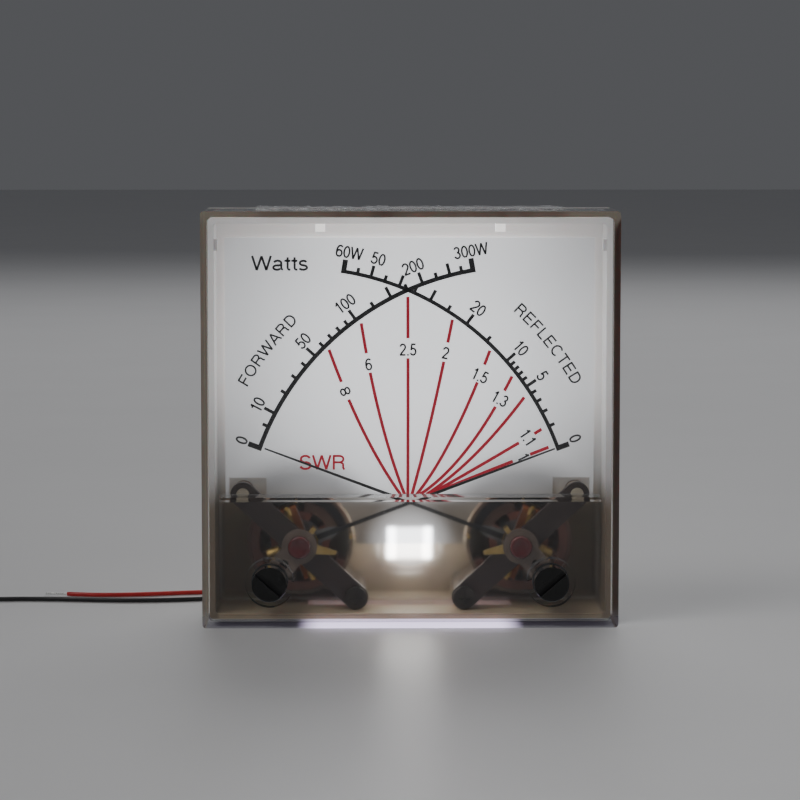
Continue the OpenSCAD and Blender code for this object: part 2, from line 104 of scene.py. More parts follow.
LEAD_R = 0.4
LEAD_STEPS = 6          # points on the curve for each point of a route
TIP_R = 0.2
TIP_LEN = 4
RED_ROUTE = [
    (-1.5, BOARD_Y, 12.8), (-1.5, 12, 12.8), (-2.2, 14.6, 12.6), (-4.6, 17.2, 11.8),
    (-8, 19, 10.3), (-12, 20, 8.3), (-16, 20.6, 6.2), (-20, 21, 4.2), (-24, 21.2, 2.5),
    (-28, 21.2, 1.2), (-32, 21, 0.5), (-36, 20.6, 0.45), (-41, 19.6, 0.45),
    (-46, 18.4, 0.45), (-51, 17.6, 0.45), (-56, 17.6, 0.45), (-61, 18.6, 0.45)]
BLACK_ROUTE = [
    (1.5, BOARD_Y, 9.6), (1.5, 12, 9.6), (0.7, 14.4, 9.3), (-1.8, 16.4, 8.2),
    (-5.6, 17.4, 6.3), (-10, 17.8, 4.2), (-14, 17.8, 2.4), (-18, 17.4, 1), (-22, 16.8, 0.5),
    (-27, 15.6, 0.45), (-32, 14.2, 0.45), (-38, 12.6, 0.45), (-44, 11.6, 0.45),
    (-50, 11.4, 0.45), (-56, 12, 0.45), (-62, 12.8, 0.45), (-68, 13.2, 0.45),
    (-74, 12.8, 0.45), (-80, 11.8, 0.45)]


# ---- node helpers ----

def new_material(name):
    """A new material, its node tree and its main shader."""
    mat = bpy.data.materials.new(name)
    mat.use_nodes = True
    nt = mat.node_tree
    return mat, nt, nt.nodes["Principled BSDF"]


def add(nt, kind, settings=None, **inputs):
    """A node of that kind, with its settings and its inputs given by name."""
    node = nt.nodes.new("ShaderNode" + kind)
    for key, value in (settings or {}).items():
        setattr(node, key, value)
    for key, value in inputs.items():
        wanted = key.replace("_", " ")
        for socket in node.inputs:
            if socket.name == wanted and socket.enabled:
                feed(nt, socket, value)
                break
    return node


def feed(nt, socket, value):
    """Links another node's output to a socket, or sets the socket's own value."""
    if isinstance(value, bpy.types.NodeSocket):
        nt.links.new(value, socket)
    elif isinstance(value, tuple) and len(value) == 3 and len(socket.default_value) == 4:
        socket.default_value = (*value, 1)
    else:
        socket.default_value = value


def math_node(nt, operation, a, b=0.0):
    """One operation on two values, either of which may be another node's output."""
    node = nt.nodes.new("ShaderNodeMath")
    node.operation = operation
    feed(nt, node.inputs[0], a)
    feed(nt, node.inputs[1], b)
    return node.outputs[0]


def map_range(nt, value, low, high, to_low=0.0, to_high=1.0):
    """Carries one range smoothly over to another, and holds its ends."""
    node = nt.nodes.new("ShaderNodeMapRange")
    node.interpolation_type = "SMOOTHSTEP"
    for k, part in enumerate((value, low, high, to_low, to_high)):
        feed(nt, node.inputs[k], part)
    return node.outputs[0]


def ramp(nt, value, stops):
    """A colour for a value, from (value, colour) stops."""
    node = nt.nodes.new("ShaderNodeValToRGB")
    feed(nt, node.inputs[0], value)
    elements = node.color_ramp.elements
    while len(elements) < len(stops):
        elements.new(0.5)
    for element, (at, colour) in zip(elements, stops):
        element.position = at
        element.color = (*colour, 1)
    return node.outputs[0]


def place(nt):
    """The point being shaded, in metres, in the shared frame with every body at rest."""
    return add(nt, "TexCoord").outputs["Object"]


def speckle(nt, per_mm):
    """Noise between 0 and 1, with that many features to a millimetre."""
    tex = add(nt, "TexNoise", Vector=place(nt), Scale=per_mm / MM, Detail=3.0, Roughness=0.55)
    return tex.outputs[0]


def bump(nt, height, depth_mm, bevel_mm=0.0):
    """Relief from a height of 0 to 1, over edges softened by a bevel."""
    node = add(nt, "Bump", Height=height, Distance=depth_mm * MM, Strength=1.0)
    if bevel_mm:
        rounded = add(nt, "Bevel", {"samples": 4}, Radius=bevel_mm * MM)
        nt.links.new(rounded.outputs[0], node.inputs["Normal"])
    return node.outputs[0]


def surface(name, dark, light, rough=(0.35, 0.5), per_mm=0.6, grain=8.0, depth_mm=0.004,
            bevel_mm=0.08, **sockets):
    """A material whose colour drifts between two shades, with fine grain and softened edges. per_mm
    and grain are the features to a millimetre in its colour and in its relief."""
    mat, nt, bsdf = new_material(name)
    drift = speckle(nt, per_mm)
    fine = speckle(nt, grain)
    nt.links.new(ramp(nt, drift, ((0.3, dark), (0.7, light))), bsdf.inputs["Base Color"])
    nt.links.new(map_range(nt, fine, 0.25, 0.75, *rough), bsdf.inputs["Roughness"])
    nt.links.new(bump(nt, fine, depth_mm, bevel_mm=bevel_mm), bsdf.inputs["Normal"])
    for key, value in sockets.items():
        feed(nt, bsdf.inputs[key.replace("_", " ")], value)
    return mat, nt, bsdf


def from_lamp(nt, near, far, at=LAMP):
    """1 close to the lamp or another point, fading to 0 at the far distance in millimetres."""
    apart = add(nt, "VectorMath", {"operation": "DISTANCE"})
    feed(nt, apart.inputs[0], place(nt))
    apart.inputs[1].default_value = tuple(at * MM)
    return map_range(nt, apart.outputs["Value"], near * MM, far * MM, 1.0, 0.0)


def lamp_glow(nt):
    """The lamp's halo: hot at its edge, with a fainter skirt round it."""
    halo = math_node(nt, "MULTIPLY", from_lamp(nt, 3.6, 6.8), 1.6)
    skirt = math_node(nt, "MULTIPLY", from_lamp(nt, 3, 14), 0.09)
    return math_node(nt, "ADD", halo, skirt)


def lamp_window(nt, top):
    """The lamp's square: a bright middle with a brighter bar down each side."""
    outer, inner, soft = 3.75, 2.4, 0.6     # the bars' two edges, and how soft they are
    glare, less = 13, 8                     # how bright the bars are, and how much less the middle
    across = within(nt, 0, -outer, outer, soft)
    high = within(nt, 2, LAMP.z - 2.2, top, soft)
    middle = math_node(nt, "MULTIPLY", within(nt, 0, -inner, inner, soft), less)
    return math_node(nt, "MULTIPLY", math_node(nt, "MULTIPLY", across, high),
                     math_node(nt, "SUBTRACT", glare, middle))


def mix_colour(nt, amount, first, second):
    """The first colour where the amount is 0, and the second where it is 1."""
    blend = add(nt, "Mix", {"data_type": "RGBA"})
    for socket, value in ((0, amount), (6, first), (7, second)):
        feed(nt, blend.inputs[socket], value)
    return blend.outputs[2]


def within(nt, axis, low, high, soft):
    """1 where that coordinate lies between two values in millimetres, with soft edges."""
    split = add(nt, "SeparateXYZ", Vector=place(nt))
    value = split.outputs[axis]
    rise = map_range(nt, value, (low - soft) * MM, (low + soft) * MM)
    fall = map_range(nt, value, (high - soft) * MM, (high + soft) * MM, 1.0, 0.0)
    return math_node(nt, "MULTIPLY", rise, fall)


def dial_light(nt):
    """How brightly the lamp shows through the dial: most in its middle, least in its corners."""
    return from_lamp(nt, 6, 52, DIAL_MIDDLE)


# ---- materials ----

GLOW = (1.0, 0.97, 0.92)
DIAL_MIDDLE = Vector((0, PLATE_FRONT, 46))


def clear_cover_material():
    """Clear moulded plastic: polished, with a frosted lower panel, a painted shade tint on its ledge, and a
    painted glow along its lower edge.
    """
    mat, nt, bsdf = new_material("clear_cover")
    bsdf.inputs["Transmission Weight"].default_value = 1.0
    bsdf.inputs["IOR"].default_value = 1.49
    clear, ledge_painted_shade = (0.985, 0.99, 1.0), (0.76, 0.73, 0.69)
    inner_face = FACE_Y + 2
    ledge_back = FACE_Y + 6.4
    panel_back = within(nt, 1, inner_face - 0.1, inner_face + 0.1, 0.02)
    low = within(nt, 2, 0, LEDGE_Z - 0.5, 0.1)
    frosted = math_node(nt, "MULTIPLY", panel_back, low)
    wear = map_range(nt, speckle(nt, 1.5), 0.45, 0.8, 0.015, 0.05)
    frost = math_node(nt, "MULTIPLY", frosted, 0.16)
    # Painted shade: a smoky tint on the ledge stands in for the dark movements seen through it; the ledge is
    # also a little rougher.
    ledge = math_node(nt, "MULTIPLY", within(nt, 2, LEDGE_Z - 0.9, LEDGE_Z + 0.1, 0.02),
                      within(nt, 1, inner_face - 0.2, ledge_back, 0.05))
    nt.links.new(mix_colour(nt, ledge, clear, ledge_painted_shade), bsdf.inputs["Base Color"])
    rough = math_node(nt, "ADD", frost, math_node(nt, "MULTIPLY", ledge, 0.07))
    nt.links.new(math_node(nt, "ADD", wear, rough), bsdf.inputs["Roughness"])
    # Painted glow: the lamp's light through the tray's slot is painted as emission along the cover's lower
    # edge, with a faint share along its whole width.
    lit_x, lit_z = 17, 0.95         # how far the lit edge reaches to each side, and up
    along = within(nt, 0, -lit_x, lit_x, 2.5)
    edge = within(nt, 2, -1, lit_z, 0.1)
    strength = math_node(nt, "ADD", math_node(nt, "MULTIPLY", along, 0.65), 0.012)
    painted_glow = math_node(nt, "MULTIPLY", strength, edge)
    bsdf.inputs["Emission Color"].default_value = (0.76, 0.66, 0.92, 1)
    nt.links.new(painted_glow, bsdf.inputs["Emission Strength"])
    shadow = nt.nodes.new("ShaderNodeBsdfTransparent")
    shadow.inputs[0].default_value = (0.94, 0.95, 0.96, 1)
    mix = nt.nodes.new("ShaderNodeMixShader")
    nt.links.new(add(nt, "LightPath").outputs["Is Shadow Ray"], mix.inputs[0])
    nt.links.new(bsdf.outputs[0], mix.inputs[1])
    nt.links.new(shadow.outputs[0], mix.inputs[2])
    nt.links.new(mix.outputs[0], nt.nodes["Material Output"].inputs[0])
    return mat


def inner_room(nt, half_width, heights, depths):
    """1 inside one hollow of the case, given in millimetres."""
    across = math_node(nt, "MULTIPLY", within(nt, 0, -half_width, half_width, 0.03),
                       within(nt, 2, *heights, 0.03))
    return math_node(nt, "MULTIPLY", across, within(nt, 1, FACE_Y + depths[0], FACE_Y + depths[1], 0.05))


def case_material():
    """White moulding that the lamp shines through. Inside, painted shade makes it brown low down, darker
    still by the side walls, grey beside the dial's lower part and white above, and a painted glow makes it
    bright round the lamp."""
    mat, nt, bsdf = surface("white_case", (0.78, 0.74, 0.65), (0.84, 0.81, 0.73), (0.38, 0.5), 0.15, 6)
    rim = FACE_Y + 3.2              # the front of the case
    peg_back = FACE_Y + 6.1
    peg_inner, peg_outer = 14.25, 15.95
    peg_low, peg_high = 66, 67.85
    well_back = FACE_Y + 18.7
    up = add(nt, "SeparateXYZ", Vector=place(nt)).outputs[2]
    height = map_range(nt, up, 19 * MM, 26 * MM)
    inside = math_node(nt, "ADD", inner_room(nt, *TRAY), inner_room(nt, *REAR_BOX))
    # Painted shade: low down inside, the lining is brown, and darker still against the side walls.
    low = ramp(nt, speckle(nt, 0.15), ((0.3, (0.38, 0.295, 0.19)), (0.7, (0.45, 0.355, 0.235))))
    clear_of_walls = within(nt, 0, -32.4, 32.4, 0.4)
    low = mix_colour(nt, clear_of_walls, (0.20, 0.15, 0.10), low)
    outer = bsdf.inputs["Base Color"].links[0].from_socket
    # Painted shade: higher up the lining is white, greyed beside the dial's lower part.
    high = ramp(nt, speckle(nt, 0.15), ((0.3, (0.80, 0.80, 0.80)), (0.7, (0.85, 0.85, 0.85))))
    high = mix_colour(nt, map_range(nt, up, 22 * MM, 44 * MM), (0.62, 0.615, 0.61), high)
    painted_shade_lining = mix_colour(nt, height, low, high)
    nt.links.new(mix_colour(nt, inside, outer, painted_shade_lining), bsdf.inputs["Base Color"])
    bsdf.inputs["Subsurface Weight"].default_value = 0.15
    bsdf.inputs["Subsurface Scale"].default_value = 0.002
    # Painted glow: the lamp's light through the moulding is painted as emission. It makes a square behind
    # the lamp and a halo round it, and a wash that grows with height, strongest toward the dial's middle and
    # dimmed on the rim's front.
    behind_lamp = within(nt, 1, well_back - 0.4, well_back + 0.4, 0.05)
    window = math_node(nt, "MULTIPLY", behind_lamp, lamp_window(nt, LAMP.z + 3.5))
    glow = lamp_glow(nt)
    above = map_range(nt, up, 14 * MM, 44 * MM)
    rim_front = math_node(nt, "MULTIPLY", within(nt, 1, rim, rim + 1, 0.2), 0.6)
    share = math_node(nt, "SUBTRACT", 0.62, rim_front)
    upper = math_node(nt, "MULTIPLY", math_node(nt, "MULTIPLY", above, dial_light(nt)), share)
    # Painted glow on the pads behind the frames' upper pegs.
    pegs = within(nt, 1, rim, peg_back, 0.05)
    as_far = within(nt, 0, -peg_outer, peg_outer, 0.02)
    between = within(nt, 0, -peg_inner, peg_inner, 0.02)
    both = math_node(nt, "MULTIPLY", pegs, math_node(nt, "SUBTRACT", as_far, between))
    peg_rows = within(nt, 2, peg_low, peg_high, 0.02)
    bright = math_node(nt, "MULTIPLY", math_node(nt, "MULTIPLY", both, peg_rows), 1.1)
    near = math_node(nt, "ADD", window, glow)
    painted_glow = math_node(nt, "ADD", near, math_node(nt, "ADD", upper, bright))
    painted_glow_inside = math_node(nt, "MULTIPLY", painted_glow, inside)
    bsdf.inputs["Emission Color"].default_value = (*GLOW, 1)
    nt.links.new(painted_glow_inside, bsdf.inputs["Emission Strength"])
    return mat


def plate_material():
    """The scale plate: satin white, with a painted glow for the lamp behind it and the movements' painted
    shadows in that glow. Painted shade makes it greyer away from its middle, and warmer and dimmer at its
    lower corners.
    """
    mat, nt, bsdf = surface("dial_plate", (0.80, 0.81, 0.82), (0.84, 0.85, 0.855), (0.3, 0.42), 0.1, 10,
                            0.002, 0.03)
    # Painted shadow: the movements are painted as shadows in the plate's painted backlight.
    movement_painted_shadow = math_node(nt, "ADD", *[
        from_lamp(nt, 10.5, 17, Vector((side * PIVOT_X, PLATE_FRONT, PIVOT_Z))) for _, side in SIDES])
    clear = math_node(nt, "SUBTRACT", 1, math_node(nt, "MULTIPLY", movement_painted_shadow, 0.85))
    painted_backlight = math_node(nt, "MULTIPLY", dial_light(nt), clear)
    above = within(nt, 2, LEDGE_Z - 1.5, ABOVE_ALL, 1.5)
    white = bsdf.inputs["Base Color"].links[0].from_socket
    # Painted shade: the white greys away from the dial's middle, darker still at the lower corners, and
    # turns warm brown below the ledge.
    upper = mix_colour(nt, dial_light(nt), (0.60, 0.595, 0.60), white)
    corners = math_node(nt, "ADD", *[
        from_lamp(nt, 2, 20, Vector((side * 34, PLATE_FRONT, LEDGE_Z - 1))) for _, side in SIDES])
    upper = mix_colour(nt, corners, upper, (0.38, 0.375, 0.37))
    upright = within(nt, 2, LEDGE_Z - 1, ABOVE_ALL, 3)
    nt.links.new(mix_colour(nt, upright, (0.42, 0.36, 0.29), upper), bsdf.inputs["Base Color"])
    bsdf.inputs["Emission Color"].default_value = (0.97, 0.98, 1.0, 1)
    square = math_node(nt, "MULTIPLY", lamp_window(nt, LAMP.z + 4.1), 0.7)
    halo = from_lamp(nt, 3, 8.8, Vector((LAMP.x, PLATE_FRONT, LAMP.z + 1.3)))
    near = math_node(nt, "ADD", math_node(nt, "MULTIPLY", halo, 0.55), square)
    painted_glow = math_node(nt, "ADD", near, math_node(nt, "MULTIPLY", painted_backlight, above))
    nt.links.new(painted_glow, bsdf.inputs["Emission Strength"])
    return mat


def print_material(name, dark, light, **more):
    """Printing ink: fine-grained, with sharp edges."""
    return surface(name, dark, light, (0.45, 0.6), 2, 12, 0.001, 0.0, **more)[0]


def metal(name, dark, light, rough, **more):
    """A metal that drifts between two shades."""
    return surface(name, dark, light, rough, Metallic=1.0, **more)[0]


def frame_material():
    """Cream plastic, with painted shade that makes it brown inside where it is away from the lamp and dark
    at its feet, and a faint painted glow near the lamp."""
    mat, nt, bsdf = surface("cream_plastic", (0.42, 0.36, 0.27), (0.49, 0.43, 0.32), (0.4, 0.55))
    cream = bsdf.inputs["Base Color"].links[0].from_socket
    # Painted shade: brown inside where it is away from the lamp.
    shade = mix_colour(nt, from_lamp(nt, 9, 19), (0.16, 0.085, 0.06), cream)
    inner = within(nt, 1, FACE_Y + 12, FACE_Y + 18, 0.3)
    # Painted shade: dark at its feet.
    feet = within(nt, 2, 0, 8.3, 0.5)
    colour = mix_colour(nt, feet, mix_colour(nt, inner, cream, shade), (0.13, 0.10, 0.075))
    nt.links.new(colour, bsdf.inputs["Base Color"])
    # Painted glow, faint, near the lamp.
    bsdf.inputs["Emission Color"].default_value = (*GLOW, 1)
    painted_glow = math_node(nt, "MULTIPLY", from_lamp(nt, 8, 12.5), 0.05)
    nt.links.new(painted_glow, bsdf.inputs["Emission Strength"])
    return mat


def cross_material():
    """Brass arms on a grey tongue, which lies along the needle."""
    mat, nt, bsdf = surface("grey_metal", (0.26, 0.26, 0.25), (0.34, 0.34, 0.33), (0.35, 0.55),
                            bevel_mm=0.03, Metallic=1.0)
    split = add(nt, "SeparateXYZ", Vector=place(nt))
    across = math_node(nt, "SUBTRACT", PIVOT_X * MM, math_node(nt, "ABSOLUTE", split.outputs[0]))
    up = math_node(nt, "SUBTRACT", split.outputs[2], PIVOT_Z * MM)
    along = math_node(nt, "ADD", math_node(nt, "MULTIPLY", across, math.cos(math.radians(REST))),
                      math_node(nt, "MULTIPLY", up, math.sin(math.radians(REST))))
    tongue = map_range(nt, along, 0.5 * MM, 0.9 * MM)
    grey = bsdf.inputs["Base Color"].links[0].from_socket
    nt.links.new(mix_colour(nt, tongue, (0.80, 0.55, 0.16), grey), bsdf.inputs["Base Color"])
    return mat


def yoke_material():
    """Blackened iron where the needle leaves it, with brown lacquer over the rest."""
    mat, nt, bsdf = surface("yoke_iron", (0.16, 0.06, 0.045), (0.24, 0.10, 0.075), (0.35, 0.55), 0.8)
    split = add(nt, "SeparateXYZ", Vector=place(nt))
    across = math_node(nt, "SUBTRACT", math_node(nt, "ABSOLUTE", split.outputs[0]), PIVOT_X * MM)
    up = math_node(nt, "SUBTRACT", split.outputs[2], PIVOT_Z * MM)
    inward = math_node(nt, "MULTIPLY", across, -0.5)
    black = map_range(nt, math_node(nt, "ADD", math_node(nt, "MULTIPLY", up, 0.85), inward),
                      2.6 * MM, 3.2 * MM)
    brown = bsdf.inputs["Base Color"].links[0].from_socket
    nt.links.new(mix_colour(nt, black, brown, (0.006, 0.006, 0.008)), bsdf.inputs["Base Color"])
    return mat


def tape_material():
    """Thin clear film, a little milky where it has lifted."""
    mat, nt, bsdf = new_material("clear_tape")
    bsdf.inputs["Base Color"].default_value = (0.93, 0.95, 0.98, 1)
    bsdf.inputs["Specular IOR Level"].default_value = 0.8
    lifted = map_range(nt, speckle(nt, 0.5), 0.5, 0.75, 0.16, 0.5)
    nt.links.new(lifted, bsdf.inputs["Alpha"])
    nt.links.new(map_range(nt, speckle(nt, 2), 0.3, 0.7, 0.08, 0.25), bsdf.inputs["Roughness"])
    nt.links.new(bump(nt, speckle(nt, 1.2), 0.05), bsdf.inputs["Normal"])
    return mat


# One material for each slot of the CAD nodes.
MATERIALS = {
    "clear_cover": clear_cover_material(),
    "white_case": case_material(),
    "dial_plate": plate_material(),
    "clear_tape": tape_material(),
    "steel": metal("steel", (0.50, 0.50, 0.49), (0.62, 0.62, 0.61), (0.24, 0.42), grain=12),
    "dark_steel": metal("dark_steel", (0.05, 0.045, 0.04), (0.09, 0.08, 0.07), (0.3, 0.5), grain=12),
    "circuit_board": surface("circuit_board", (0.02, 0.13, 0.06), (0.04, 0.19, 0.09), (0.25, 0.4))[0],
    "led_lens": surface("led_lens", (0.86, 0.84, 0.74), (0.92, 0.91, 0.84), (0.2, 0.35),
                        Emission_Color=(1.0, 0.97, 0.88), Emission_Strength=3.0)[0],
    "red_insulation": surface("red_insulation", (0.50, 0.012, 0.015), (0.60, 0.02, 0.02), (0.35, 0.5),
                              bevel_mm=0.0, Coat_Weight=0.15)[0],
    "black_insulation": surface("black_insulation", (0.012, 0.012, 0.013), (0.02, 0.02, 0.022),
                                (0.35, 0.5), bevel_mm=0.0, Coat_Weight=0.15)[0],
    "tinned_wire": metal("tinned_wire", (0.62, 0.62, 0.62), (0.75, 0.75, 0.74), (0.2, 0.38), bevel_mm=0.0),
    "brass": metal("brass", (0.62, 0.42, 0.14), (0.78, 0.56, 0.22), (0.22, 0.4), grain=12, bevel_mm=0.04),
    "cream_plastic": frame_material(),
    "yoke_iron": yoke_material(),
    "magnet": metal("magnet", (0.16, 0.15, 0.15), (0.25, 0.24, 0.23), (0.4, 0.6)),
    "pole_iron": surface("pole_iron", (0.16, 0.045, 0.03), (0.25, 0.08, 0.05), (0.4, 0.6), 0.8)[0],
    "dark_bridge": surface("dark_bridge", (0.026, 0.015, 0.012), (0.045, 0.026, 0.021), (0.38, 0.55))[0],
    "red_lacquer": surface("red_lacquer", (0.085, 0.0, 0.001), (0.13, 0.0, 0.003), (0.12, 0.28), 1.2, 3,
                           0.01, 0.0, Coat_Weight=0.5)[0],
    "black_plastic": surface("black_plastic", (0.006, 0.006, 0.006), (0.012, 0.012, 0.012),
                             (0.25, 0.45), bevel_mm=0.12)[0],
    # Painted shade: the zero arms' cream metal is given the dark brown it shows in shade.
    "cream_metal": surface("cream_metal", (0.15, 0.11, 0.085), (0.20, 0.15, 0.115), (0.35, 0.5))[0],
    "spring_bronze": metal("spring_bronze", (0.62, 0.40, 0.14), (0.74, 0.52, 0.22), (0.2, 0.35),
                           bevel_mm=0.0),
    "copper_wire": metal("copper_wire", (0.34, 0.11, 0.04), (0.46, 0.17, 0.06), (0.25, 0.4), bevel_mm=0.0),
    "thin_aluminium": metal("thin_aluminium", (0.66, 0.67, 0.68), (0.76, 0.77, 0.78), (0.25, 0.4),
                            bevel_mm=0.03),
    "black_needle": surface("black_needle", (0.008, 0.008, 0.009), (0.014, 0.014, 0.015), (0.35, 0.5),
                            2, 12, 0.001, 0.0)[0],
    "grey_metal": cross_material(),
}
TRACK = surface("track", (0.035, 0.20, 0.10), (0.05, 0.27, 0.13), (0.22, 0.35), bevel_mm=0.03)[0]
BLACK_PRINT = print_material("black_print", (0.008, 0.008, 0.010), (0.018, 0.018, 0.020))
# The red ink has a faint painted red glow.
RED_PRINT = print_material("red_print", (0.30, 0.0, 0.014), (0.38, 0.002, 0.022),
                           Emission_Color=(1.0, 0.0, 0.045), Emission_Strength=0.2)


def dress_frame():
    """Gives every CAD node the material of its slot."""
    slots = {part["node"]: part["material_slot"] for part in frame["record"]["subparts"]}
    for name, obj in frame["nodes"].items():
        for slot in obj.material_slots:
            slot.material = MATERIALS[slots[name]]


# ---- mesh helpers ----

def finish_mesh(bm, name, material, body, smooth=False):
    """Turns a bmesh in millimetres into a piece that rides on a body."""
    bmesh.ops.remove_doubles(bm, verts=bm.verts, dist=1e-4)
    bmesh.ops.recalc_face_normals(bm, faces=bm.faces)
    bmesh.ops.scale(bm, vec=(MM, MM, MM), verts=bm.verts)
    mesh = bpy.data.meshes.new(name)
    bm.to_mesh(mesh)
    bm.free()
    for face in mesh.polygons:
        face.use_smooth = smooth
    obj = bpy.data.objects.new(name, mesh)
    bpy.context.scene.collection.objects.link(obj)
    mesh.materials.append(material)
    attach(obj, body)
    return obj


def polar(r, angle):
    """A flat vector of that length, at an angle in degrees."""
    return Vector((r * math.cos(math.radians(angle)), r * math.sin(math.radians(angle))))


def add_rings(bm, rings, closed=False):
    """Skins a row of rings of points, and closes both ends or joins the last to the first."""
    loops = [[bm.verts.new(p) for p in ring] for ring in rings]
    count = len(loops[0])
    pairs = list(zip(loops, loops[1:]))
    if closed:
        pairs.append((loops[-1], loops[0]))
    else:
        bm.faces.new(loops[0])
        bm.faces.new(reversed(loops[-1]))
    for here, there in pairs:
        for k in range(count):
            nxt = (k + 1) % count
            bm.faces.new((here[k], there[k], there[nxt], here[nxt]))


def add_ribbon(bm, line, width, back, front):
    """A flat strip along points (x, z) of the dial, between two depths."""
    rings = []
    for i, point in enumerate(line):
        before, after = line[max(i - 1, 0)], line[min(i + 1, len(line) - 1)]
        along = (Vector(after) - Vector(before)).normalized()
        side = Vector((-along.y, along.x)) * width / 2
        a, b = Vector(point) + side, Vector(point) - side
        rings.append([(a.x, back, a.y), (a.x, front, a.y), (b.x, front, b.y), (b.x, back, b.y)])
    add_rings(bm, rings)


def add_tube(bm, points, radius, sides=8, closed=False):
    """A round tube along points in space."""
    line = [Vector(p) for p in points]
    last = len(line) - 1
    rings = []
    across = None
    for i, point in enumerate(line):
        if closed:
            along = (line[(i + 1) % len(line)] - line[i - 1]).normalized()
        else:
            along = (line[min(i + 1, last)] - line[max(i - 1, 0)]).normalized()
        if across is None:
            helper = Vector((0, 0, 1)) if abs(along.z) < 0.9 else Vector((1, 0, 0))
            across = along.cross(helper).normalized()
        across = (across - along * across.dot(along)).normalized()
        up = along.cross(across)
        r = radius[i] if isinstance(radius, list) else radius
        rings.append([
            point + r * (math.cos(2 * math.pi * k / sides) * across + math.sin(2 * math.pi * k / sides) * up)
            for k in range(sides)])
    add_rings(bm, rings, closed)


def add_turned(bm, profile, centre, sides, wobble, seed):
    """A slightly uneven solid turned about Y, from (radius, depth) pairs, with both ends capped."""
    rings = []
    for r, depth in profile:
        ring = []
        for k in range(sides):
            a = 2 * math.pi * k / sides
            way = Vector((math.cos(a), math.sin(a), seed))
            rr = r * (1 + wobble * noise.noise(way * 1.7))
            ring.append(Vector(centre) + Vector((rr * math.cos(a), depth, rr * math.sin(a))))
        rings.append(ring)
    add_rings(bm, rings)


# ---- plain lettering, drawn as strokes on a capital's height of 1 ----

def oval(x, z, rx, rz, start=0, end=360):
    """Points round part of an oval, in degrees anticlockwise from its right."""
    steps = max(4, round(abs(end - start) / 18))
    turns = [math.radians(start + (end - start) * i / steps) for i in range(steps + 1)]
    return [(x + rx * math.cos(t), z + rz * math.sin(t)) for t in turns]


# Each character: how far it moves the pen on, then its strokes.
GLYPHS = {
    "0": (0.56, oval(0.28, 0.5, 0.2, 0.44, -90, 270)),
    "1": (0.5, [(0.3, 0), (0.3, 1)], [(0.1, 0.76), (0.22, 0.81), (0.3, 0.98)]),
    "2": (0.56, oval(0.28, 0.7, 0.2, 0.24, 170, -40) + [(0.07, 0.06)], [(0.04, 0.06), (0.5, 0.06)]),
    "3": (0.56, oval(0.27, 0.73, 0.17, 0.21, 160, -90), oval(0.27, 0.29, 0.2, 0.23, 90, -165)),
    "5": (0.56, [(0.13, 0.46), (0.17, 0.94)], [(0.13, 0.94), (0.47, 0.94)],
          oval(0.27, 0.33, 0.21, 0.27, 148, -160)),
    "6": (0.56, oval(0.28, 0.32, 0.2, 0.26, -90, 270), oval(0.32, 0.5, 0.24, 0.44, 48, 195)),
    ".": (0.26, [(0.13, 0), (0.13, 0.13)]),
    "∞": (0.76, oval(0.2, 0.5, 0.18, 0.26), oval(0.56, 0.5, 0.18, 0.26)),
    "W": (0.94, [(0.04, 1), (0.25, 0.02)], [(0.25, 0.02), (0.47, 0.98)], [(0.47, 0.98), (0.69, 0.02)],
          [(0.69, 0.02), (0.9, 1)]),
    "a": (0.56, oval(0.27, 0.5, 0.17, 0.17, 165, 0) + [(0.44, 0.14), (0.51, 0.04)],
          oval(0.24, 0.2, 0.17, 0.15, 60, 330), [(0.3, 0.34), (0.44, 0.39)]),
    "t": (0.32, [(0.17, 0.9), (0.17, 0.16), (0.2, 0.07), (0.3, 0.06)], [(0.02, 0.66), (0.3, 0.66)]),
    "s": (0.5, oval(0.25, 0.51, 0.16, 0.15, 25, 250) + oval(0.24, 0.2, 0.18, 0.15, 75, -160)),
    "F": (0.61, [(0.12, 0), (0.12, 1)], [(0.12, 0.94), (0.58, 0.94)], [(0.12, 0.5), (0.52, 0.5)]),
    "O": (0.78, oval(0.39, 0.5, 0.31, 0.45, -90, 270)),
    "R": (0.71, [(0.12, 0), (0.12, 1)],
          [(0.12, 0.94)] + oval(0.4, 0.72, 0.19, 0.22, 90, -90) + [(0.12, 0.5)],
          [(0.44, 0.5), (0.57, 0.4), (0.58, 0.12), (0.64, 0)]),
    "A": (0.66, [(0.04, 0), (0.33, 1)], [(0.33, 1), (0.62, 0)], [(0.14, 0.33), (0.52, 0.33)]),
    "D": (0.72, [(0.12, 0), (0.12, 1)],
          [(0.12, 0.94)] + oval(0.34, 0.5, 0.28, 0.44, 90, -90) + [(0.12, 0.06)]),
    "E": (0.65, [(0.12, 0), (0.12, 1)], [(0.12, 0.94), (0.6, 0.94)], [(0.12, 0.51), (0.56, 0.51)],
          [(0.12, 0.06), (0.61, 0.06)]),
    "L": (0.56, [(0.12, 0), (0.12, 1)], [(0.12, 0.06), (0.53, 0.06)]),
    "C": (0.72, oval(0.39, 0.5, 0.29, 0.45, 48, 312)),
    "T": (0.6, [(0.02, 0.94), (0.58, 0.94)], [(0.3, 0), (0.3, 0.94)]),
    "S": (0.66, oval(0.33, 0.72, 0.22, 0.23, 15, 255) + oval(0.33, 0.28, 0.25, 0.23, 75, -165)),
}


def pen_width(words):
    """How far words carry the pen, in capitals' heights."""
    return sum(GLYPHS[letter][0] for letter in words)


def add_text(bm, words, height, x, z, angle, spread):
    """Printed words with that capital height, centred on a point of the dial, turned and widened."""
    turn = Matrix.Rotation(math.radians(angle), 2)
    pen = -pen_width(words) / 2
    back, front = print_depths()
    for letter in words:
        for line in GLYPHS[letter][1:]:
            points = []
            for across, up in line:
                flat = turn @ Vector(((pen + across) * height * spread, (up - 0.5) * height))
                points.append((x + flat.x, z + flat.y))
            add_ribbon(bm, points, STROKE * height, back, front)
        pen += GLYPHS[letter][0]


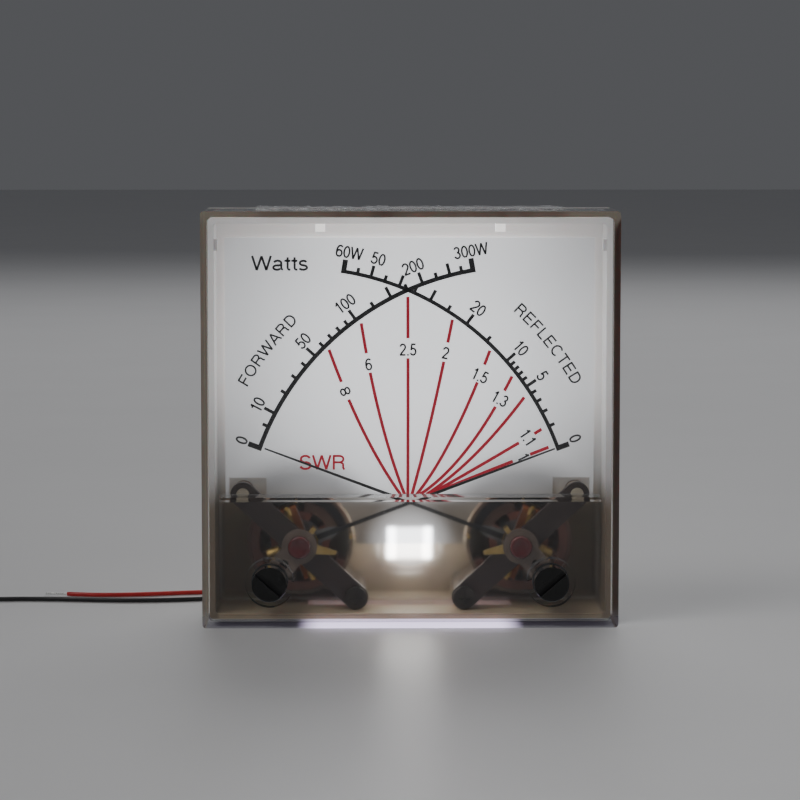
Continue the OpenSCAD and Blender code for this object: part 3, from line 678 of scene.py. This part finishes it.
# ---- the printing on the scale plate ----

def forward_mark(watts):
    """A needle's deflection in degrees. The detector loses a little voltage, and the scale closes
    up towards its end."""
    volts = math.sqrt(watts)
    return 3.86 * (volts - 1.38 * (1 - math.exp(-volts / 1.38))) - 2 * (watts / 300) ** 5


def reflected_mark(watts):
    """The same for the reflected scale, whose marks lie a little low round 12 watts."""
    volts = math.sqrt(watts)
    dip = 1.5 * math.exp(-((volts - 3.5) / 1.25) ** 2)
    return 8.24 * (volts - 0.46 * (1 - math.exp(-volts / 0.3))) - dip


def mark(scale, watts):
    """Where a scale marks a power. Its end ticks stand a little outside it."""
    first, last = scale["ends"]
    nudge = {first: -0.4, last: 0.2}.get(watts, 0)
    return scale["mark"](watts) + nudge


# Each scale: its pivot's side, its radius, the width of its line, its marks, and its numbers, each
# with how many degrees it stands past its mark.
FORWARD = {
    "side": 1, "mark": forward_mark, "r": FORWARD_R, "line": 0.76,
    "long": (10, 50, 100, 150, 200, 250),
    "short": (5, 20, 30, 40, 60, 70, 80, 90, 125, 175, 225, 275),
    "ends": (0, 300),
    "numbers": ((0, "0", 0.2), (10, "10", 0), (50, "50", 0.6), (100, "100", 0.2), (200, "200", -0.6),
                (300, "300W", 0.2))}
REFLECTED = {
    "side": -1, "mark": reflected_mark, "r": REFLECTED_R, "line": 0.66,
    "long": (5, 10, 20, 30, 40, 50),
    "short": (1, 2, 3, 4, 6, 7, 8, 9, 15, 25, 35, 45, 55),
    "ends": (0, 60),
    "numbers": ((0, "0", 0.6), (5, "5", 0), (10, "10", 0), (20, "20", 0), (50, "50", -0.5),
                (60, "60W", -0.5))}


def on_dial(side, r, deflection):
    """A point at a distance from the pivot on that side, along its needle's direction."""
    way = polar(r, REST + deflection)
    return Vector((side * (PIVOT_X - way.x), PIVOT_Z + way.y))


def print_depths():
    """Where the printing starts and ends, from back to front."""
    return PLATE_FRONT + PRINT_SINK, PLATE_FRONT - PRINT_T


def scale_print(scale, name):
    """One scale's arc and its ticks."""
    bm = bmesh.new()
    back, front = print_depths()
    side, r, line = scale["side"], scale["r"], scale["line"]
    steps = 90
    low, high = (mark(scale, watts) for watts in scale["ends"])
    low, high = low - END_TURN, high + END_TURN
    arc = [on_dial(side, r, low + (high - low) * i / steps) for i in range(steps + 1)]
    add_ribbon(bm, arc, line, back, front)
    for marks, length, width in (
            (scale["short"], SHORT_TICK, TICK_W), (scale["long"], LONG_TICK, TICK_W),
            (scale["ends"], LONG_TICK, END_W)):
        for watts in marks:
            at = mark(scale, watts)
            ends = [on_dial(side, r - line / 2, at), on_dial(side, r + line / 2 + length, at)]
            add_ribbon(bm, ends, width, back, front + TICK_DROP)
    finish_mesh(bm, name, BLACK_PRINT, "root")


def number_print():
    """The numbers outside both scales."""
    bm = bmesh.new()
    for scale in (FORWARD, REFLECTED):
        side = scale["side"]
        for watts, words, move in scale["numbers"]:
            at = mark(scale, watts) + move
            spot = on_dial(side, scale["r"] + NUMBER_GAP, at)
            add_text(bm, words, NUMBER_H, spot.x, spot.y, side * (90 - REST - at), NUMBER_SPREAD)
    finish_mesh(bm, "dial_numbers", BLACK_PRINT, "root")


def legend_print():
    """The words along each scale, set letter by letter, and the unit."""
    bm = bmesh.new()
    # Each word: its scale, the deflection at its middle, and its radius.
    for scale, words, middle, r in ((FORWARD, "FORWARD", 17, 54.6), (REFLECTED, "REFLECTED", 18.2, 54.9)):
        side = scale["side"]
        pen = -pen_width(words) / 2
        for letter in words:
            centre = (pen + GLYPHS[letter][0] / 2) * WORD_H * WORD_PITCH
            at = middle + side * math.degrees(centre / r)
            spot = on_dial(side, r, at)
            add_text(bm, letter, WORD_H, spot.x, spot.y, side * (90 - REST - at), WORD_SPREAD)
            pen += GLYPHS[letter][0]
    add_text(bm, "Watts", TITLE_H, -22.05, 60.85, 0, 1.48)
    finish_mesh(bm, "dial_legends", BLACK_PRINT, "root")


# Each line of constant SWR: its label, how far that is from the line's outer end, how much it is
# turned, the bare line left outside and inside the label's middle, and the line's start, bend and
# end on the dial.
SWR_LINES = (
    ("1", 4.7, -64, 1.2, 1.8, (3.4, 21.1), (9.5, 23.7), (23.8, 29.3)),
    ("1.1", 2.7, -56, 1.1, 1.8, (3.4, 21.2), (11.5, 25.7), (22.6, 32.4)),
    ("", 0, 0, 0, 0, (2.9, 21.2), (11.2, 26.6), (19.6, 37.9)),
    ("1.3", 4.4, -29, 1.6, 1.35, (1.8, 21.2), (10.0, 26.6), (17.5, 41.5)),
    ("1.5", 4.55, -24, 1.8, 1.2, (1.2, 21.2), (7.2, 28.6), (13.7, 45.9)),
    ("2", 5.85, -10, 1.75, 1.25, (0.4, 21.2), (3.6, 32.5), (7.3, 51.2)),
    ("2.5", 9.1, 0, 2.0, 1.15, (-0.3, 21.2), (-0.25, 38), (-0.3, 55.1)),
    ("6", 7.2, 9, 1.8, 1.2, (-0.85, 21.2), (-5.45, 33), (-8.25, 50.6)),
    ("∞", 7.7, 21, 1.6, 1.3, (-1.55, 21.2), (-8.2, 30.6), (-13.75, 46.1)))


def bent_line(start, bend, end):
    """Points along a curve that leaves its start toward the bend and reaches its end from there."""
    steps = 140
    line = []
    for i in range(steps + 1):
        t = i / steps
        line.append((1 - t) ** 2 * Vector(start) + 2 * t * (1 - t) * Vector(bend) + t * t * Vector(end))
    return line


def swr_print():
    """The red lines of constant SWR, their labels and the red word."""
    lines, labels = bmesh.new(), bmesh.new()
    back, front = print_depths()
    for words, room, turn, outside, inside, *route in SWR_LINES:
        line = bent_line(*route)
        if not words:
            add_ribbon(lines, line, CURVE_W, back, front)
            continue
        away = [(p - line[-1]).length for p in line]
        centre = line[min(range(len(line)), key=lambda i: abs(away[i] - room))]
        outer = [p for p, far in zip(line, away) if far < room - outside]
        inner = [p for p, far in zip(line, away) if far > room + inside]
        for part in (outer, inner):
            if len(part) > 1:
                add_ribbon(lines, part, CURVE_W, back, front)
        add_text(labels, words, LABEL_H, centre.x, centre.y, turn, LABEL_SPREAD)
    finish_mesh(lines, "swr_lines", RED_PRINT, "root")
    finish_mesh(labels, "swr_numbers", BLACK_PRINT, "root")
    word = bmesh.new()
    add_text(word, "SWR", TITLE_H, -14.95, 26.75, 0, 1.4)
    finish_mesh(word, "swr_word", RED_PRINT, "root")


# ---- leads ----

def smooth_route(route, steps):
    """The smooth curve through a route's points, the same as the CAD model's."""
    points = [Vector(p) for p in route]
    last = len(points) - 1
    line = []
    for i in range(last):
        a, b = points[max(i - 1, 0)], points[i]
        c, d = points[i + 1], points[min(i + 2, last)]
        for k in range(steps):
            t = k / steps
            line.append(0.5 * (2 * b + (c - a) * t + (2 * a - 5 * b + 4 * c - d) * t * t
                               + (3 * b - a - 3 * c + d) * t * t * t))
    line.append(points[last])
    return line


def lead(colour, route):
    """One lead of the lamp, with its bare strands."""
    line = smooth_route(route, LEAD_STEPS)
    bm = bmesh.new()
    radii = [LEAD_R] * len(line)
    radii[-1] = LEAD_R * 0.9
    add_tube(bm, line, radii, 16)
    slot = colour + "_insulation"
    piece = finish_mesh(bm, colour + "_lead_wire", MATERIALS[slot], "root", smooth=True)
    tip = strands(colour, line)
    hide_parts(colour + "_lead")
    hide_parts(colour + "_lead_tip")


def strands(colour, line):
    """Seven tinned strands, twisted together, at the bare end of a lead."""
    bm = bmesh.new()
    along = (line[-1] - line[-1 - LEAD_STEPS]).normalized()
    across = along.cross(Vector((0, 0, 1))).normalized()
    up = across.cross(along)
    fine = TIP_R / 3
    hidden = 0.6                # how far the strands start inside the insulation
    steps = 28
    start = line[-1] - along * hidden
    for k in range(7):
        points = []
        for i in range(steps + 1):
            t = i / steps
            turn = 2 * math.pi * (k / 6 + 1.1 * t)
            out = 0 if k == 6 else 2 * fine * (1 + 0.12 * math.sin(5 * t + k))
            points.append(start + along * (TIP_LEN + hidden) * t
                          + out * (math.cos(turn) * across + math.sin(turn) * up))
        add_tube(bm, points, fine, 8)
    return finish_mesh(bm, colour + "_lead_strands", MATERIALS["tinned_wire"], "root", True)


# ---- studio ----

def aim(obj, target):
    """Turns a light to face a point."""
    obj.rotation_euler = (Vector(target) - obj.location).to_track_quat("-Z", "Y").to_euler()


def camera():
    """Half a metre in front of the meter and a little above it."""
    data = bpy.data.cameras.new("camera")
    data.lens = 135.3
    data.sensor_width = 36
    data.clip_start = 0.01
    obj = bpy.data.objects.new("camera", data)
    bpy.context.scene.collection.objects.link(obj)
    obj.location = Vector((-7.8, FACE_Y - 500, 85.8)) * MM
    obj.rotation_euler = (math.radians(90 - 5.4), 0, math.radians(-0.69))
    bpy.context.scene.camera = obj


def area_light(name, where, size, watts, colour=(1, 1, 1)):
    """A round soft light, aimed at the meter."""
    data = bpy.data.lights.new(name, "AREA")
    data.shape = "DISK"
    data.size = size
    data.energy = watts
    data.color = colour
    obj = bpy.data.objects.new(name, data)
    bpy.context.scene.collection.objects.link(obj)
    obj.location = where
    aim(obj, (0, 0, 0.03))


def studio():
    """Soft light from three sides, and a pale floor."""
    world = bpy.data.worlds.new("studio")
    bpy.context.scene.world = world
    world.use_nodes = True
    world.node_tree.nodes["Background"].inputs[0].default_value = (0.92, 0.94, 1.0, 1)
    world.node_tree.nodes["Background"].inputs[1].default_value = 0.1
    area_light("key", (-0.55, -0.4, 0.85), 0.6, 2.7, colour=(1, 0.98, 0.95))
    area_light("fill", (0.7, -0.35, 0.5), 0.8, 0.7)
    area_light("back", (0.1, 0.8, 0.7), 0.7, 3)
    bm = bmesh.new()
    bmesh.ops.create_grid(bm, x_segments=1, y_segments=1, size=3000)
    bmesh.ops.scale(bm, vec=(MM, MM, MM), verts=bm.verts)
    mesh = bpy.data.meshes.new("floor")
    bm.to_mesh(mesh)
    bm.free()
    floor = bpy.data.objects.new("floor", mesh)
    bpy.context.scene.collection.objects.link(floor)
    mat, nt, bsdf = new_material("floor")
    shade = ramp(nt, speckle(nt, 0.02), ((0.3, (0.66, 0.66, 0.67)), (0.7, (0.68, 0.68, 0.69))))
    nt.links.new(shade, bsdf.inputs["Base Color"])
    bsdf.inputs["Roughness"].default_value = 0.4
    mesh.materials.append(mat)


# ---- the lamp's board ----

def solder_joint(name, x, z):
    """A cone of solder that a lead leaves the board through."""
    bm = bmesh.new()
    profile = [(1.0, -0.02), (0.95, 0.1), (0.74, 0.26), (0.58, 0.5), (0.5, 0.85), (0.44, 1.0)]
    add_turned(bm, profile, (x, BOARD_Y, z), sides=32, wobble=0.09, seed=x)
    finish_mesh(bm, name, MATERIALS["tinned_wire"], "root", smooth=True)


def add_block(bm, low, high, edge):
    """A block with its long edges cut back, lying along X."""
    (x0, y0, z0), (x1, y1, z1) = low, high
    outline = ((y0, z0), (y1 - edge, z0), (y1, z0 + edge), (y1, z1 - edge), (y1 - edge, z1), (y0, z1))
    add_rings(bm, [[(x, y, z) for y, z in outline] for x in (x0, x1)])


def lamp_circuit():
    """Two solder joints, the tracks between them and the lamp's resistor."""
    solder_joint("red_solder", RED_ROUTE[0][0], RED_ROUTE[0][2])
    solder_joint("black_solder", BLACK_ROUTE[0][0], BLACK_ROUTE[0][2])
    tracks = bmesh.new()
    for line in (
            [(-1.5, 12.8), (-2.5, 11.8), (-2.5, 9.6), (-1.8, 9.6)],
            [(-0.2, 9.6), (0.1, 9.9), (0.1, 12.2), (0.7, 12.8), (2.4, 12.8)],
            [(1.5, 9.6), (2.5, 10.6), (2.5, 11.6)]):
        add_ribbon(tracks, line, 0.5, BOARD_Y - 0.02, BOARD_Y + 0.05)
    finish_mesh(tracks, "board_tracks", TRACK, "root")
    body, ends = bmesh.new(), bmesh.new()
    add_block(body, (-1.55, BOARD_Y, 9.2), (-0.45, BOARD_Y + 0.45, 10.0), 0.06)
    add_block(ends, (-1.85, BOARD_Y, 9.18), (-1.55, BOARD_Y + 0.47, 10.02), 0.08)
    add_block(ends, (-0.45, BOARD_Y, 9.18), (-0.15, BOARD_Y + 0.47, 10.02), 0.08)
    finish_mesh(body, "lamp_resistor", MATERIALS["black_plastic"], "root")
    finish_mesh(ends, "resistor_ends", MATERIALS["tinned_wire"], "root")


# ---- the sealing tape ----

def film(name, x_low, x_high, lift, seed):
    """A strip of thin film on the top, wrinkled, with ragged long edges."""
    y_low, y_high = TAPE_LOW.y, TAPE_HIGH.y
    along, across = 70, 12      # squares of the mesh
    thick = 0.05
    inset = 0.6                 # from the edges of the CAD model's tape
    bm = bmesh.new()
    sheets = []
    for layer in (0, thick):
        rows = []
        for i in range(along + 1):
            u = i / along
            row = []
            for j in range(across + 1):
                v = j / across
                ragged = 0.54 * noise.noise((u * 9, seed, 4)) if j in (0, across) else 0
                x = x_low + (x_high - x_low) * u + 0.5 * noise.noise((v * 3, seed, 9)) * (u in (0, 1))
                y = y_low + inset + (y_high - y_low - 2 * inset) * v + ragged
                wave = 0.5 + 0.5 * noise.noise((x * 0.55, y * 0.12, seed))
                ridge = abs(noise.noise((x * 0.9, y * 0.3, seed + 7)))
                z = TAPE_LOW.z + lift + 0.22 * wave + 0.35 * ridge + layer
                row.append(bm.verts.new((x, y, z)))
            rows.append(row)
        sheets.append(rows)
    low, high = sheets
    for i in range(along):
        for j in range(across):
            bm.faces.new((low[i][j], low[i][j + 1], low[i + 1][j + 1], low[i + 1][j]))
            bm.faces.new((high[i][j], high[i + 1][j], high[i + 1][j + 1], high[i][j + 1]))
        for j in (0, across):
            bm.faces.new((low[i][j], low[i + 1][j], high[i + 1][j], high[i][j]))
    for i in (0, along):
        for j in range(across):
            bm.faces.new((low[i][j], low[i][j + 1], high[i][j + 1], high[i][j]))
    return finish_mesh(bm, name, MATERIALS["clear_tape"], "root", smooth=True)


def sealing_tape():
    """Two lengths of clear tape, one lapped over the end of the other."""
    middle = TAPE_LOW.x + 0.36 * (TAPE_HIGH.x - TAPE_LOW.x)
    first = film("tape_left", TAPE_LOW.x, middle + 4, 0.02, 1.3)
    film("tape_right", middle, TAPE_HIGH.x, 0.1, 5.1)
    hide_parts("sealing_tape")


# ---- detail on the movements ----

def dial_side(side, u, v):
    """A point (along the needle at rest, square to it) about the pivot on that side."""
    turn = Matrix.Rotation(math.radians(REST), 2)
    flat = turn @ Vector((u, v))
    return Vector((side * (PIVOT_X - flat.x), PIVOT_Z + flat.y))


def rounded_loop(half_v, y_low, y_high, r):
    """A rectangle with round corners, as (v, y) pairs."""
    steps = 4
    corners = ((half_v - r, y_high - r, 0), (r - half_v, y_high - r, 90),
               (r - half_v, y_low + r, 180), (half_v - r, y_low + r, 270))
    loop = []
    for v, y, start in corners:
        for k in range(steps + 1):
            way = polar(r, start + 90 * k / steps)
            loop.append((v + way.x, y + way.y))
    return loop


def placed(side, u, loop):
    """A loop of (v, y) pairs, set square to the needle at a distance u along it."""
    points = []
    for v, y in loop:
        p = dial_side(side, u, v)
        points.append((p.x, y, p.y))
    return points


def winding(name, side):
    """The coil's turns: a solid band with its outer layer of wire laid over it."""
    low, high = box_mm(name + "_coil")
    y_low, y_high = low.y, high.y
    half_v, half_u = 6.45, 1.5      # the coil's half length and half width
    thick, wire = 0.7, 0.15         # the coil's thickness and the wire's radius
    turns = 9
    bm = bmesh.new()
    turn = rounded_loop(half_v - wire, y_low + wire, y_high - wire, 0.7)
    for k in range(turns):
        u = -half_u + wire + (2 * half_u - 2 * wire) * k / (turns - 1)
        add_tube(bm, placed(side, u, turn), wire * 1.15, 6, closed=True)
    band = rounded_loop(half_v - 2 * wire, y_low + 2 * wire, y_high - 2 * wire, 0.6)
    hole = rounded_loop(half_v - thick, y_low + thick, y_high - thick, 0.2)
    u = half_u - 0.1
    add_rings(bm, [placed(side, -u, band), placed(side, u, band), placed(side, u, hole),
                   placed(side, -u, hole)], closed=True)
    piece = finish_mesh(bm, name + "_winding", MATERIALS["copper_wire"], name + "_pointer",
                        smooth=True)
    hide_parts(name + "_coil")


def lacquer_drop(name, side):
    """A drop of red lacquer over the front bearing's nut, a little uneven."""
    low, high = box_mm(name + "_lacquer_seal")
    r = (high.x - low.x) / 2
    depth = high.y - low.y
    centre = ((low.x + high.x) / 2, low.y, (low.z + high.z) / 2)
    crown = depth * 0.42        # how much of its depth is rounded
    edge = 0.42                 # and how far in from its rim
    profile = [(r, depth), (r, crown)]
    for k in range(1, 9):
        a = math.radians(90 * k / 9)
        profile.append((r - edge + edge * math.cos(a), crown * (1 - math.sin(a))))
    profile += [(r * 0.55, 0.05), (r * 0.5, 0.16), (r * 0.1, 0.2)]
    bm = bmesh.new()
    add_turned(bm, profile, centre, sides=56, wobble=0.035, seed=side * 3.1)
    piece = finish_mesh(bm, name + "_lacquer", MATERIALS["red_lacquer"], "root", True)
    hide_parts(name + "_lacquer_seal")


def movements():
    """The finish pieces of both movements."""
    for name, side in SIDES:
        winding(name, side)
        lacquer_drop(name, side)


# ---- build ----

camera()
lead("red", RED_ROUTE)
lead("black", BLACK_ROUTE)
studio()
dress_frame()
scale_print(FORWARD, "forward_scale")
scale_print(REFLECTED, "reflected_scale")
number_print()
legend_print()
swr_print()
movements()
lamp_circuit()
sealing_tape()
